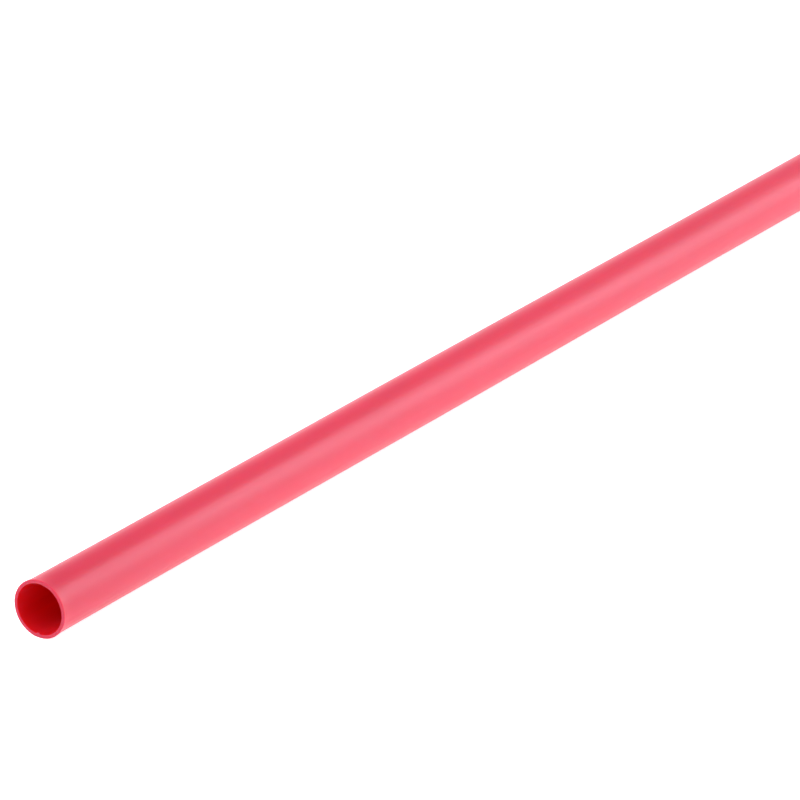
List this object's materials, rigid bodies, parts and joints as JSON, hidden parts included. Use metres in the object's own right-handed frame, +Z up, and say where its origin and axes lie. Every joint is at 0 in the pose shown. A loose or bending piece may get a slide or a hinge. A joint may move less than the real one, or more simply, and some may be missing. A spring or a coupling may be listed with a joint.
{
  "type": "heat shrink tube",
  "caption": "Straight cut length of thin-walled round shrink tubing with a bore open right through and square-cut ends, lying on its side.",
  "frame": {"origin": "under the middle of the tube's length, on the surface that it lies on", "axes": "+X along the tube, away from the cut end that the picture shows; +Z up"},
  "size_m": [0.3, 0.0074, 0.0074],
  "materials": {
    "red_polyolefin": "satin"
  },
  "bodies": {
    "root": {"heat_shrink_tube": "red_polyolefin"}
  },
  "joints": []
}
